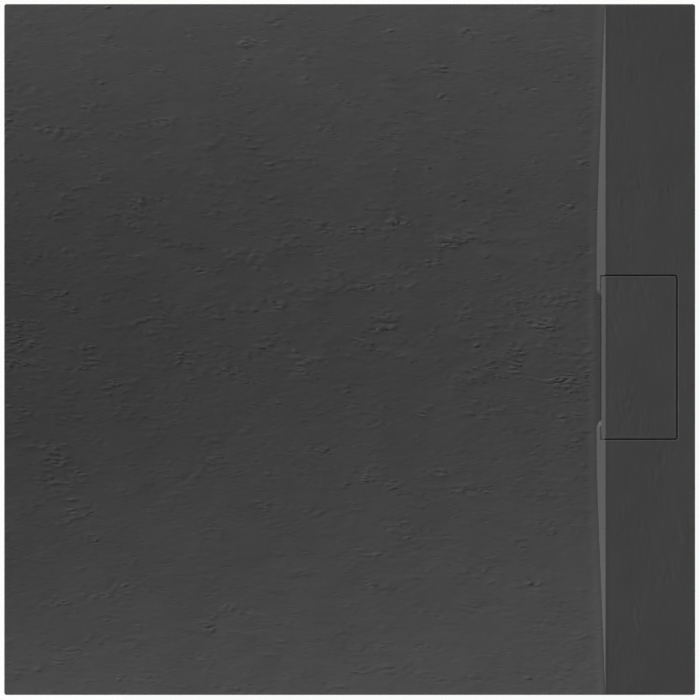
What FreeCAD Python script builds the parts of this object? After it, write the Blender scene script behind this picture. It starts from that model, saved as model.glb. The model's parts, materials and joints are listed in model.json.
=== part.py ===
import FreeCAD, Part
import math
import os

from FreeCAD import Vector

# A square cast shower tray with a level strip along its right side, standing on levelling feet.
# All sizes are in millimetres. X runs towards the strip, Y towards the back edge, Z up from the floor.

# Tray
tray_length = 900.0  # along X
tray_width = 900.0  # along Y
edge_thickness = 30.0
edge_round = 2.0
corner_round = 3.0
underside_chamfer = 1.0
strip_width = 117.0
fall_depth = 12.0  # floor at the mouth, below the strip
fall_run = 292.0  # from each end, where the fall along the step would reach its full depth
fall_ease = 42.0  # either side of that place, over which the fall eases to level
step_angle = 48.0  # slope of the step's face

# Cover and the recess that it lies in
cover_length = 212.0  # along Y
cover_reach = 92.9  # from the step's top edge to the cover's right edge
cover_thickness = 5.5
cover_gap = 1.3
cover_corner = 2.2
cover_chamfer = 1.0
recess_chamfer = 1.2
cover_shift = -10.5  # the cover's middle, from the tray's middle, along Y
pad_height = 2.0
pad_radius = 4.0

# Sump under the cover and the mouth that leads into it
ledge_width = 11.9
sump_lead = 2.0  # how far the sump's front lies in front of the step's top edge
sump_drop = 6.0  # sump floor below the shower floor
sump_corner = 8.0
sump_round = 3.0
mouth_throat = 159.0
mouth_flare = 11.6
mouth_shift = -1.1  # the mouth's middle, from the cover's middle, along Y
ramp_run = 3.5

# Underside
rim_width = 20.0
cells_across = 9
rib_width = 12.5
pocket_depth = 8.0
pocket_corner = 8.0
boss_margin = 8.0  # solid stone kept round the sump and the foot sockets

# Waste
waste_hole_radius = 30.0
flange_radius = 40.0
flange_sheet = 1.5
flange_lip = 1.0
gasket_thickness = 1.5
gasket_inset = 1.5
sleeve_radius = 26.0
sleeve_wall = 2.0
sleeve_length = 29.0
seat_radius = 29.0
seat_depth = 2.0
shoulder_drop = 9.0  # the dip tube's shoulder, below the flange's top
shoulder_width = 2.5
shoulder_thickness = 1.5

# Strainer
strainer_sheet = 1.2
strainer_gap = 0.4
strainer_hole_radius = 2.0
strainer_rings = ((7.5, 7), (13.5, 12), (19.5, 18))  # ring radius and holes in it
knob_radius = 4.0
knob_height = 4.5

# Dip tube
tube_radius = 20.0
tube_wall = 2.0
tube_end_height = 24.0  # its lower end, above the floor
collar_height = 5.0
collar_gap = 0.3
seal_width = 2.0
seal_depth = 1.6
seal_gap = 0.1

# Trap
trap_wall = 2.5
trap_radius = 46.5
trap_clearance = 12.0  # under the trap, above the floor
trap_top = 4.0
neck_wall = 4.0
neck_length = 12.0
thread_gap = 0.1
weir_radius = 32.0
weir_wall = 2.0
weir_height = 34.0

# Outlet
pipe_radius = 20.0
pipe_wall = 1.8
outlet_height = 36.0  # the outlet's axis, above the floor
outlet_bore = 17.5
socket_gap = 0.3
socket_wall = 3.0
socket_depth = 22.0
spigot_length = 30.0  # past the trap's wall
seal_length = 6.0
pipe_gap = 0.06
nut_wall = 4.5
nut_grip = 16.0
nut_lip = 3.0
nut_ribs = 12
nut_rib_radius = 2.0
elbow_lead = 8.0  # straight pipe between the nut and the bend
elbow_bend = 30.0
elbow_tail = 30.0

# Feet
foot_height = 80.0  # floor to the tray's underside, with the feet wound in
stem_radius = 6.0
stem_gap = 0.06
socket_plate_radius = 36.0
socket_plate_thickness = 5.0
socket_boss_radius = 14.0
socket_rib_thickness = 3.0
socket_ribs = 6
socket_roof = 2.0
bore_end_gap = 0.5
lock_nut_flats = 19.0
lock_nut_height = 7.0
screw_radius = 2.0
screw_head_radius = 4.0
screw_head_height = 2.6
screw_circle = 28.0
screws_per_socket = 4
screw_bite = 10.0
screw_hole_gap = 0.2
pilot_gap = 0.05
stem_collar_flats = 17.0
stem_collar_rise = 3.0  # above the pad
stem_collar_height = 6.0
winding_room = 8.0  # between the collar and the lock nut, with the feet wound in
ball_radius = 9.0
ball_height = 3.0
cup_gap = 0.1
pad_base_radius = 32.0
pad_base_thickness = 4.0
pad_hub_radius = 14.0
pad_top = 20.0
sole_thickness = 3.0
sole_lip = 1.5
sole_lip_height = 1.5
sole_chamfer = 0.8

# Places that follow from the sizes
up = Vector(0, 0, 1)
clear = 5.0  # how far cutting shapes run past a face
underside_z = foot_height
top_z = underside_z + edge_thickness
left_x = -tray_length / 2
right_x = tray_length / 2
front_y = -tray_width / 2
step_x = right_x - strip_width
slope = math.tan(math.radians(step_angle))
floor_z = top_z - fall_depth
step_foot_x = step_x - fall_depth / slope
cover_under_z = top_z - cover_thickness
ledge_z = cover_under_z - pad_height
recess_right_x = step_x + cover_reach + cover_gap
recess_half = cover_length / 2 + cover_gap
sump_z = floor_z - sump_drop
sump_front_x = step_x - sump_lead
sump_back_x = recess_right_x - ledge_width
sump_half = recess_half - ledge_width
waste_x = (sump_front_x + sump_back_x) / 2
waste_y = cover_shift
flange_under_z = sump_z + gasket_thickness
flange_top_z = flange_under_z + flange_sheet
strainer_z = flange_top_z - seat_depth
shoulder_z = flange_top_z - shoulder_drop
sleeve_bore = sleeve_radius - sleeve_wall
trap_top_z = underside_z - gasket_thickness
trap_floor_z = trap_clearance + trap_wall
spigot_radius = pipe_radius + socket_gap + socket_wall
spigot_end = trap_radius + spigot_length
nut_end = spigot_end + seal_length + nut_lip
pad_floor_z = sole_thickness + pad_base_thickness
collar_z = pad_top + stem_collar_rise
lock_nut_z = collar_z + stem_collar_height + winding_room
socket_low_z = lock_nut_z + lock_nut_height
cell_pitch_x = (tray_length - 2 * rim_width) / cells_across
cell_pitch_y = (tray_width - 2 * rim_width) / cells_across
corner_cell = (cells_across - 1) / 2
foot_offset_x = corner_cell * cell_pitch_x
foot_offset_y = corner_cell * cell_pitch_y
feet = {
    "back_left": (-foot_offset_x, foot_offset_y),
    "back_right": (foot_offset_x, foot_offset_y),
    "front_left": (-foot_offset_x, -foot_offset_y),
    "front_right": (foot_offset_x, -foot_offset_y),
    "centre": (0.0, 0.0),
}


def box(x_range, y_range, z_range):
    size = [high - low for low, high in (x_range, y_range, z_range)]
    return Part.makeBox(*size, Vector(x_range[0], y_range[0], z_range[0]))


def cylinder(radius, low, high, x=0.0, y=0.0):
    return Part.makeCylinder(radius, high - low, Vector(x, y, low))


def cylinder_along_y(radius, start, end, x, z):
    """A cylinder between two distances in front of the waste's axis."""
    return Part.makeCylinder(radius, end - start, Vector(x, waste_y - start, z), Vector(0, -1, 0))


def polygon_face(points):
    return Part.Face(Part.makePolygon(points + points[:1]))


def turned(profile, x, y):
    """A solid of revolution about a vertical axis, from (radius, height) points."""
    face = polygon_face([Vector(x + radius, y, z) for radius, z in profile])
    return face.revolve(Vector(x, y, 0), up, 360)


def rounded_outline(x_range, y_range, z, radius):
    """A level rectangle with round corners."""
    (x0, x1), (y0, y1) = x_range, y_range
    bend = radius * (1 - math.sqrt(0.5))
    corners = (
        (Vector(x1 - radius, y0, z), Vector(x1 - bend, y0 + bend, z), Vector(x1, y0 + radius, z)),
        (Vector(x1, y1 - radius, z), Vector(x1 - bend, y1 - bend, z), Vector(x1 - radius, y1, z)),
        (Vector(x0 + radius, y1, z), Vector(x0 + bend, y1 - bend, z), Vector(x0, y1 - radius, z)),
        (Vector(x0, y0 + radius, z), Vector(x0 + bend, y0 + bend, z), Vector(x0 + radius, y0, z)),
    )
    edges = []
    for corner, following in zip(corners, corners[1:] + corners[:1]):
        edges.append(Part.Arc(*corner).toShape())
        edges.append(Part.makeLine(corner[2], following[0]))
    return Part.Wire(edges)


def rounded_plate(x_range, y_range, z_range, radius):
    outline = rounded_outline(x_range, y_range, z_range[0], radius)
    return Part.Face(outline).extrude(up * (z_range[1] - z_range[0]))


def grown(value_range, by):
    return (value_range[0] - by, value_range[1] + by)


def flared_plate(x_range, y_range, z_range, radius, chamfer, outward):
    """A round-cornered plate whose top edge is bevelled outwards, or inwards when outward is -1."""
    bevel_z = z_range[1] - chamfer
    low = rounded_outline(x_range, y_range, bevel_z, radius)
    spread = chamfer * outward
    high = rounded_outline(grown(x_range, spread), grown(y_range, spread), z_range[1], radius + spread)
    body = rounded_plate(x_range, y_range, (z_range[0], bevel_z), radius)
    return body.fuse(Part.makeLoft([low, high], True, True)).removeSplitter()


def hexagon(flats, low, high, x, y):
    reach = flats / 2 / math.cos(math.pi / 6)
    points = [
        Vector(x + reach * math.cos(i * math.pi / 3), y + reach * math.sin(i * math.pi / 3), low)
        for i in range(6)
    ]
    return polygon_face(points).extrude(up * (high - low))


def edges_at(shape, test):
    return [edge for edge in shape.Edges if all(test(vertex.Point) for vertex in edge.Vertexes)]


def is_upright(edge):
    first, last = edge.Vertexes[0].Point, edge.Vertexes[-1].Point
    return abs(first.x - last.x) < 0.001 and abs(first.y - last.y) < 0.001


def foot_point(y, depth):
    """A point of the step's face, at a depth below the strip."""
    return Vector(step_x - depth / slope, y, top_z - depth)


def foot_curves():
    """The step's foot from front to back: straight runs joined by curves that ease round one pole."""
    ends = []
    for side in (1, -1):
        run_end = fall_run - fall_ease
        outer = foot_point(side * front_y, 0)
        lower = foot_point(side * (front_y + run_end), fall_depth * run_end / fall_run)
        pole = foot_point(side * (front_y + fall_run), fall_depth)
        inner = foot_point(side * (front_y + fall_run + fall_ease), fall_depth)
        ends.append((outer, lower, pole, inner))
    near, far = ends
    return (
        near[:2],
        near[1:],
        (near[3], far[3]),
        (far[3], far[2], far[1]),
        (far[1], far[0]),
    )


def curve_edge(poles):
    if len(poles) == 2:
        return Part.makeLine(*poles)
    curve = Part.BezierCurve()
    curve.setPoles(list(poles))
    return curve.toShape()


def fall_cutters():
    """What is above the step's face and the shower floor, which is ruled from the left edge to the foot."""
    foot_edges = [curve_edge(poles) for poles in foot_curves()]
    faces = []
    for poles, foot_edge in zip(foot_curves(), foot_edges):
        rim = Part.makeLine(Vector(left_x, poles[0].y, top_z), Vector(left_x, poles[-1].y, top_z))
        faces.append(Part.makeRuledSurface(rim, foot_edge))
    top_line = Part.makeLine(foot_point(-front_y, 0), foot_point(front_y, 0))
    faces.append(Part.Face(Part.Wire(foot_edges + [top_line])))
    return [face.extrude(up * (fall_depth + clear)) for face in faces]


def slab():
    shape = box((left_x, right_x), (front_y, -front_y), (underside_z, top_z))
    shape = shape.makeFillet(corner_round, [edge for edge in shape.Edges if is_upright(edge)])
    shape = shape.makeFillet(edge_round, edges_at(shape, lambda point: abs(point.z - top_z) < 0.001))
    low_edges = edges_at(shape, lambda point: abs(point.z - underside_z) < 0.001)
    return shape.makeChamfer(underside_chamfer, low_edges)


def mouth_outline(rise):
    """The mouth's outline at a height above the shower floor. Its ends lean back as the step's face does."""
    middle = waste_y + mouth_shift
    radius = mouth_flare - rise / slope
    bend = radius * math.sqrt(0.5)
    centre_x = step_foot_x + mouth_flare
    z = floor_z + rise

    def flare(side):
        centre_y = middle + side * (mouth_throat / 2 + mouth_flare)
        start = Vector(centre_x - radius, centre_y, z)
        turn = Vector(centre_x - bend, centre_y - side * bend, z)
        return start, turn, Vector(centre_x, centre_y - side * radius, z)

    low, high = flare(-1), flare(1)
    return Part.Wire([
        Part.Arc(*low).toShape(),
        Part.makeLine(low[2], high[2]),
        Part.Arc(*reversed(high)).toShape(),
        Part.makeLine(high[0], low[0]),
    ])


def mouth_cutter():
    """The opening in the step's foot and the ramp from it to the sump."""
    opening = Part.makeLoft([mouth_outline(0), mouth_outline(ledge_z - floor_z + clear)], True, True)
    throat_y = waste_y + mouth_shift - mouth_throat / 2
    ramp_points = [
        Vector(sump_front_x - ramp_run, throat_y, floor_z),
        Vector(sump_front_x, throat_y, sump_z),
        Vector(sump_front_x + clear, throat_y, sump_z),
        Vector(sump_front_x + clear, throat_y, floor_z),
    ]
    ramp = polygon_face(ramp_points).extrude(Vector(0, mouth_throat, 0))
    return [opening, ramp]


def sump_cutter():
    shape = rounded_plate(
        (sump_front_x, sump_back_x),
        (waste_y - sump_half, waste_y + sump_half),
        (sump_z, top_z + clear),
        sump_corner,
    )
    return shape.makeFillet(sump_round, edges_at(shape, lambda point: abs(point.z - sump_z) < 0.001))


def recess_cutter():
    """The cover's recess, open towards the shower floor, with a bevelled edge round the other sides."""
    y_range = (waste_y - recess_half, waste_y + recess_half)
    corner = cover_corner + cover_gap
    x_range = (step_foot_x - clear, recess_right_x)
    return flared_plate(x_range, y_range, (ledge_z, top_z), corner, recess_chamfer, 1)


def is_solid_cell(x, y):
    """Whether a cell of the underside stays solid, under the sump or round a foot socket."""
    under_sump = (
        x + cell_pitch_x / 2 + boss_margin > step_foot_x
        and abs(y - waste_y) < sump_half + cell_pitch_y / 2 + boss_margin
    )
    on_foot = any(math.hypot(x - fx, y - fy) < socket_plate_radius + boss_margin for fx, fy in feet.values())
    return under_sump or on_foot


def pocket_cutters():
    pockets = []
    half_x = (cell_pitch_x - rib_width) / 2
    half_y = (cell_pitch_y - rib_width) / 2
    for column in range(cells_across):
        for row in range(cells_across):
            x = (column - corner_cell) * cell_pitch_x
            y = (row - corner_cell) * cell_pitch_y
            if not is_solid_cell(x, y):
                sides = (x - half_x, x + half_x), (y - half_y, y + half_y)
                heights = (underside_z - clear, underside_z + pocket_depth)
                pockets.append(rounded_plate(*sides, heights, pocket_corner))
    return pockets


def screw_places(x, y):
    """The screws' places round a foot."""
    for i in range(screws_per_socket):
        angle = math.radians(45 + 360 * i / screws_per_socket)
        yield x + screw_circle * math.cos(angle), y + screw_circle * math.sin(angle)


def tray_shell():
    shape = slab().cut(fall_cutters())
    shape = shape.cut([recess_cutter(), sump_cutter()] + mouth_cutter())
    waste_hole = cylinder(waste_hole_radius, underside_z - clear, top_z, waste_x, waste_y)
    pilot_radius = screw_radius + pilot_gap
    pilots = [
        cylinder(pilot_radius, underside_z - clear, underside_z + screw_bite, screw_x, screw_y)
        for x, y in feet.values()
        for screw_x, screw_y in screw_places(x, y)
    ]
    return shape.cut([waste_hole] + pilots + pocket_cutters())


def waste_cover():
    """The loose cover: its front edge is bevelled in line with the step's face."""
    front_x = step_x - cover_thickness / slope
    y_range = (waste_y - cover_length / 2, waste_y + cover_length / 2)
    x_range = (front_x, step_x + cover_reach)
    plate = flared_plate(x_range, y_range, (cover_under_z, top_z), cover_corner, cover_chamfer, -1)
    start_y = y_range[0] - clear
    bevel_points = [
        Vector(front_x, start_y, cover_under_z),
        Vector(step_x + clear / slope, start_y, top_z + clear),
        Vector(front_x - clear, start_y, top_z + clear),
        Vector(front_x - clear, start_y, cover_under_z),
    ]
    bevel = polygon_face(bevel_points).extrude(Vector(0, cover_length + 2 * clear, 0))
    return plate.cut(bevel)


def cover_pads():
    """Rubber pads under the cover's corners and right side, which stand on the ledge."""
    right = step_x + cover_reach - pad_radius - cover_chamfer
    left = step_x + pad_radius
    end = cover_length / 2 - pad_radius - cover_chamfer
    places = [(x, side * end) for x in (left, right) for side in (-1, 1)]
    places += [(right, side * end / 3) for side in (-1, 1)]
    return [cylinder(pad_radius, ledge_z, cover_under_z, x, waste_y + y) for x, y in places]


def waste_flange():
    """The ring in the sump, with a seat for the strainer and a sleeve with a shoulder for the dip tube."""
    sleeve_end = flange_top_z - sleeve_length
    profile = [
        (flange_radius, flange_under_z),
        (flange_radius, flange_top_z),
        (seat_radius + flange_lip, flange_top_z),
        (seat_radius, flange_top_z - flange_lip),
        (seat_radius, strainer_z),
        (sleeve_bore, strainer_z),
        (sleeve_bore, shoulder_z),
        (sleeve_bore - shoulder_width, shoulder_z),
        (sleeve_bore - shoulder_width, shoulder_z - shoulder_thickness),
        (sleeve_bore, shoulder_z - shoulder_thickness),
        (sleeve_bore, sleeve_end),
        (sleeve_radius, sleeve_end),
        (sleeve_radius, strainer_z - flange_sheet),
        (waste_hole_radius - flange_lip, strainer_z - flange_sheet),
        (waste_hole_radius - flange_lip, flange_under_z),
    ]
    return turned(profile, waste_x, waste_y)


def ring(outer, inner, low, high, x=waste_x, y=waste_y):
    return cylinder(outer, low, high, x, y).cut(cylinder(inner, low - clear, high + clear, x, y))


def flange_gasket():
    return ring(flange_radius - gasket_inset, waste_hole_radius, sump_z, flange_under_z)


def trap_gasket():
    return ring(trap_radius - gasket_inset, waste_hole_radius, trap_top_z, underside_z)


def hair_strainer():
    """A perforated disc with a small knob to lift it by."""
    top = strainer_z + strainer_sheet
    disc = cylinder(seat_radius - strainer_gap, strainer_z, top, waste_x, waste_y)
    holes = []
    for ring_radius, count in strainer_rings:
        for i in range(count):
            angle = 2 * math.pi * i / count
            x = waste_x + ring_radius * math.cos(angle)
            y = waste_y + ring_radius * math.sin(angle)
            holes.append(cylinder(strainer_hole_radius, strainer_z - clear, top + clear, x, y))
    knob = cylinder(knob_radius, top, top + knob_height, waste_x, waste_y)
    knob = knob.makeFillet(knob_radius / 3, edges_at(knob, lambda point: point.z > top + knob_height / 2))
    return disc.cut(holes).fuse(knob)


def dip_tube():
    """The insert that hangs from the flange's shoulder into the trap, grooved for its seal."""
    collar_radius = sleeve_bore - collar_gap
    groove_z = shoulder_z + (collar_height - seal_width) / 2
    bore = tube_radius - tube_wall
    profile = [
        (bore, tube_end_height),
        (tube_radius, tube_end_height),
        (tube_radius, shoulder_z),
        (collar_radius, shoulder_z),
        (collar_radius, groove_z),
        (collar_radius - seal_depth, groove_z),
        (collar_radius - seal_depth, groove_z + seal_width),
        (collar_radius, groove_z + seal_width),
        (collar_radius, shoulder_z + collar_height),
        (tube_radius, shoulder_z + collar_height),
        (bore, shoulder_z),
    ]
    return turned(profile, waste_x, waste_y)


def dip_tube_seal():
    groove_z = shoulder_z + (collar_height - seal_width) / 2
    inner = sleeve_bore - collar_gap - seal_depth
    return ring(sleeve_bore - seal_gap, inner, groove_z, groove_z + seal_width)


def trap_body():
    """The trap: a low chamber with an inner weir cup, a threaded neck above and a socket outlet in front."""
    inner = trap_radius - trap_wall
    neck_bore = sleeve_radius + thread_gap
    roof_z = trap_top_z - trap_top
    chamber = [
        (0, trap_clearance),
        (trap_radius, trap_clearance),
        (trap_radius, trap_top_z),
        (neck_bore, trap_top_z),
        (neck_bore, roof_z - neck_length),
        (neck_bore + neck_wall, roof_z - neck_length),
        (neck_bore + neck_wall, roof_z),
        (inner, roof_z),
        (inner, trap_floor_z),
        (weir_radius, trap_floor_z),
        (weir_radius, trap_floor_z + weir_height),
        (weir_radius - weir_wall, trap_floor_z + weir_height),
        (weir_radius - weir_wall, trap_floor_z),
        (0, trap_floor_z),
    ]
    body = turned(chamber, waste_x, waste_y)
    spigot = cylinder_along_y(spigot_radius, inner, spigot_end, waste_x, outlet_height)
    inside = cylinder(inner, trap_floor_z, roof_z, waste_x, waste_y)
    body = body.fuse(spigot.cut(inside))
    bore = cylinder_along_y(outlet_bore, inner - clear, spigot_end, waste_x, outlet_height)
    socket_start = spigot_end - socket_depth
    socket_bore = pipe_radius + socket_gap
    socket = cylinder_along_y(socket_bore, socket_start, spigot_end + clear, waste_x, outlet_height)
    return body.cut([bore, socket])


def outlet_seal():
    """The rubber ring that the nut presses against the end of the outlet, round the pipe."""
    start = spigot_end
    outer = cylinder_along_y(spigot_radius - thread_gap, start, start + seal_length, waste_x, outlet_height)
    inner_radius = pipe_radius + pipe_gap
    hole = cylinder_along_y(inner_radius, start - clear, start + seal_length + clear, waste_x, outlet_height)
    return outer.cut(hole)


def outlet_nut():
    """The nut over the outlet's thread, with grip ribs round it and a lip that holds the seal."""
    start = spigot_end - nut_grip
    outer_radius = spigot_radius + thread_gap + nut_wall
    outer = cylinder_along_y(outer_radius, start, nut_end, waste_x, outlet_height)
    ribs = []
    for i in range(nut_ribs):
        angle = 2 * math.pi * i / nut_ribs
        x = waste_x + outer_radius * math.cos(angle)
        z = outlet_height + outer_radius * math.sin(angle)
        ribs.append(cylinder_along_y(nut_rib_radius, start, nut_end, x, z))
    thread = cylinder_along_y(
        spigot_radius + thread_gap, start - clear, spigot_end + seal_length, waste_x, outlet_height
    )
    hole = cylinder_along_y(pipe_radius + socket_gap, start, nut_end + clear, waste_x, outlet_height)
    return outer.fuse(ribs).cut([thread, hole])


def outlet_elbow():
    """A bent pipe: its near end turns in the outlet, and its far end points along +X."""
    start = Vector(waste_x, waste_y - (spigot_end - socket_depth + pipe_gap), outlet_height)
    bend_start = Vector(waste_x, waste_y - (nut_end + elbow_lead), outlet_height)
    bend_end = bend_start + Vector(elbow_bend, -elbow_bend, 0)
    centre = bend_start + Vector(elbow_bend, 0, 0)
    reach = elbow_bend * math.sqrt(0.5)
    middle = centre + Vector(-reach, -reach, 0)
    tail_end = bend_end + Vector(elbow_tail, 0, 0)
    path = Part.Wire([
        Part.makeLine(start, bend_start),
        Part.Arc(bend_start, middle, bend_end).toShape(),
        Part.makeLine(bend_end, tail_end),
    ])

    def swept(radius):
        section = Part.Wire(Part.makeCircle(radius, start, Vector(0, -1, 0)))
        return path.makePipeShell([section], True, False)

    return swept(pipe_radius).cut(swept(pipe_radius - pipe_wall))


def foot_socket(x, y):
    """A plate against the tray's underside with a ribbed, bored boss for the stem."""
    plate_z = underside_z - socket_plate_thickness
    plate = cylinder(socket_plate_radius, plate_z, underside_z, x, y)
    boss = cylinder(socket_boss_radius, socket_low_z, plate_z, x, y)
    half = socket_rib_thickness / 2
    rib_points = [
        Vector(x, y - half, plate_z),
        Vector(x + socket_plate_radius - half, y - half, plate_z),
        Vector(x + socket_boss_radius, y - half, socket_low_z + clear),
        Vector(x, y - half, socket_low_z + clear),
    ]
    rib = polygon_face(rib_points).extrude(Vector(0, socket_rib_thickness, 0))
    ribs = []
    for i in range(socket_ribs):
        turned_rib = rib.copy()
        turned_rib.rotate(Vector(x, y, 0), up, i * 360 / socket_ribs)
        ribs.append(turned_rib)
    bore = cylinder(stem_radius + stem_gap, socket_low_z - clear, underside_z - socket_roof, x, y)
    hole_radius = screw_radius + screw_hole_gap
    holes = [
        cylinder(hole_radius, plate_z - clear, underside_z + clear, hole_x, hole_y)
        for hole_x, hole_y in screw_places(x, y)
    ]
    pans = [
        cylinder(screw_head_radius + screw_hole_gap, plate_z - clear, plate_z, hole_x, hole_y)
        for hole_x, hole_y in screw_places(x, y)
    ]
    return plate.fuse([boss] + ribs).cut([bore] + holes + pans)


def foot_socket_screws():
    """Pan-head screws up through the socket plates into the stone."""
    head_top = underside_z - socket_plate_thickness
    screws = []
    for x, y in feet.values():
        for screw_x, screw_y in screw_places(x, y):
            head = cylinder(screw_head_radius, head_top - screw_head_height, head_top, screw_x, screw_y)
            head_low = head_top - screw_head_height / 2
            head = head.makeFillet(screw_head_height / 2, edges_at(head, lambda point: point.z < head_low))
            shank = cylinder(screw_radius, head_top, underside_z + screw_bite - pilot_gap, screw_x, screw_y)
            screws.append(head.fuse(shank))
    return screws


def foot_lock_nuts():
    """Thin nuts on the stems, tight against the sockets."""
    nuts = []
    for x, y in feet.values():
        bore = cylinder(stem_radius + stem_gap, lock_nut_z - clear, socket_low_z + clear, x, y)
        nuts.append(hexagon(lock_nut_flats, lock_nut_z, socket_low_z, x, y).cut(bore))
    return nuts


def foot_stem(x, y):
    """A threaded stem with a collar for a spanner and a flat ball end that turns in the pad."""
    ball_z = pad_floor_z + cup_gap
    top = underside_z - socket_roof - bore_end_gap
    shank = cylinder(stem_radius, ball_z, top, x, y)
    shank = shank.makeChamfer(1.0, edges_at(shank, lambda point: point.z > top - 0.001))
    ball = cylinder(ball_radius, ball_z, ball_z + ball_height, x, y)
    collar = hexagon(stem_collar_flats, collar_z, collar_z + stem_collar_height, x, y)
    return shank.fuse([ball, collar])


def foot_pad(x, y):
    """A round pad whose hub holds the stem's end."""
    cup_top = pad_floor_z + ball_height + 2 * cup_gap
    cup_radius = ball_radius + cup_gap
    bore = stem_radius + cup_gap
    profile = [
        (0, sole_thickness),
        (pad_base_radius, sole_thickness),
        (pad_base_radius, pad_floor_z),
        (pad_hub_radius + 2, pad_floor_z + 3),
        (pad_hub_radius, pad_top - 2),
        (pad_hub_radius - 2, pad_top),
        (bore, pad_top),
        (bore, cup_top),
        (cup_radius, cup_top),
        (cup_radius, pad_floor_z),
        (0, pad_floor_z),
    ]
    return turned(profile, x, y)


def foot_sole(x, y):
    """The rubber under the pad, with a lip round the pad's edge."""
    outer = pad_base_radius + sole_lip
    lip_top = sole_thickness + sole_lip_height
    profile = [
        (0, 0),
        (outer - sole_chamfer, 0),
        (outer, sole_chamfer),
        (outer, lip_top),
        (pad_base_radius, lip_top),
        (pad_base_radius, sole_thickness),
        (0, sole_thickness),
    ]
    return turned(profile, x, y)


def all_nodes():
    nodes = {
        "tray_shell": tray_shell(),
        "waste_cover": waste_cover(),
        "cover_pads": Part.makeCompound(cover_pads()),
        "hair_strainer": hair_strainer(),
        "waste_flange": waste_flange(),
        "flange_gasket": flange_gasket(),
        "trap_gasket": trap_gasket(),
        "dip_tube": dip_tube(),
        "dip_tube_seal": dip_tube_seal(),
        "trap_body": trap_body(),
        "outlet_seal": outlet_seal(),
        "outlet_nut": outlet_nut(),
        "outlet_elbow": outlet_elbow(),
        "foot_socket_screws": Part.makeCompound(foot_socket_screws()),
        "foot_lock_nuts": Part.makeCompound(foot_lock_nuts()),
    }
    for place, (x, y) in feet.items():
        nodes["foot_socket_" + place] = foot_socket(x, y)
        nodes["foot_stem_" + place] = foot_stem(x, y)
        nodes["foot_pad_" + place] = foot_pad(x, y)
        nodes["foot_sole_" + place] = foot_sole(x, y)
    return nodes


os.makedirs("parts", exist_ok=True)
for name, shape in all_nodes().items():
    shape.exportStep(f"parts/{name}.step")
    print(name, len(shape.Solids), shape.isValid(), round(shape.Volume, 1))
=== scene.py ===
import json
import math
import time

import bmesh
import bpy
import numpy as np
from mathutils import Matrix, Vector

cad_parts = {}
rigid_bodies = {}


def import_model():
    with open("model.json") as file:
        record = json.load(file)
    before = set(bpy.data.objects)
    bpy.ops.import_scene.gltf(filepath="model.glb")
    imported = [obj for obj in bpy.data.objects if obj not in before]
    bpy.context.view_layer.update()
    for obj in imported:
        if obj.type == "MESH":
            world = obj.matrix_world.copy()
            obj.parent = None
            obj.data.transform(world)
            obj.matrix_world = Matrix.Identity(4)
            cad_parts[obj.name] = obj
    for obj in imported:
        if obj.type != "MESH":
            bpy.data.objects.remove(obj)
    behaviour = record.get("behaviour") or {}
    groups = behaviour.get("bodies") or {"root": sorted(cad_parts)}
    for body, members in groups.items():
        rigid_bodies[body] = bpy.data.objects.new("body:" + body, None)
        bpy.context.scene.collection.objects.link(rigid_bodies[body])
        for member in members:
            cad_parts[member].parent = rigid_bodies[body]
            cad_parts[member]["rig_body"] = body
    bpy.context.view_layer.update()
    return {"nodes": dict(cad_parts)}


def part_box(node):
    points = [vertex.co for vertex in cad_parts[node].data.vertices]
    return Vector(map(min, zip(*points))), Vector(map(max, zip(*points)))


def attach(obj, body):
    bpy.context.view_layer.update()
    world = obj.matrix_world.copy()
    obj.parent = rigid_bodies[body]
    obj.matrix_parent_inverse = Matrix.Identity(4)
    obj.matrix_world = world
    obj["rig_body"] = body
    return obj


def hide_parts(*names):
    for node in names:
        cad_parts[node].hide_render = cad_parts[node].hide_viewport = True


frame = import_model()
nodes = frame["nodes"]
started = time.time()


def report(stage):
    # seconds since the start, at the end of each stage
    print(f"{stage}: {time.time() - started:.1f} s")


# the tray's top face, in metres

fall = {
    "left": -0.45,
    "front": -0.45,
    "top": 0.11,
    "stepX": 0.333,
    "depth": 0.012,
    "run": 0.292,
    "ease": 0.042,
    "angle": 48.0,
    "inner": 0.448,  # the raw underside begins inside this half width
    "backTop": 0.0905,  # and below this height
    "backTilt": 0.3,  # and where the face's upward share is less than this
}


# camera: straight above the tray, through a long lens

shot = {
    "lens": 300.0,
    "sensor": 36.0,
    "nearest": 0.1,
    "farthest": 60.0,
    "framed": 0.9116,  # metres across the picture at the height of the strip
    "sightX": 0.0004,  # the point of the top face that stands in the picture's middle
    "sightY": -0.00065,
    "sightZ": 0.11,
}


def putInScene(name, data):
    # a new object that holds this mesh, camera or lamp
    piece = bpy.data.objects.new(name, data)
    bpy.context.scene.collection.objects.link(piece)
    return piece


def placeCamera():
    # distance = framed width * lens / sensor
    data = bpy.data.cameras.new("planCamera")
    data.lens = shot["lens"]
    data.sensor_width = shot["sensor"]
    data.clip_start, data.clip_end = shot["nearest"], shot["farthest"]
    camera = putInScene("planCamera", data)
    height = shot["framed"] * shot["lens"] / shot["sensor"]
    camera.location = (shot["sightX"], shot["sightY"], shot["sightZ"] + height)
    bpy.context.scene.camera = camera


placeCamera()
report("camera")


# node helpers

def add(tree, kind, inputs=None, **settings):
    # one shader node, with its settings and its sockets filled or joined
    node = tree.nodes.new(kind)
    for name, value in settings.items():
        setattr(node, name, value)
    for name, value in (inputs or {}).items():
        if isinstance(value, bpy.types.NodeSocket):
            tree.links.new(value, node.inputs[name])
        else:
            node.inputs[name].default_value = value
    return node


def calc(tree, operation, first, second, third=None, clamp=False):
    # one Math node; each operand is a number or a socket
    values = {0: first, 1: second}
    if third is not None:
        values[2] = third
    return add(tree, "ShaderNodeMath", values, operation=operation, use_clamp=clamp).outputs[0]


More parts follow.
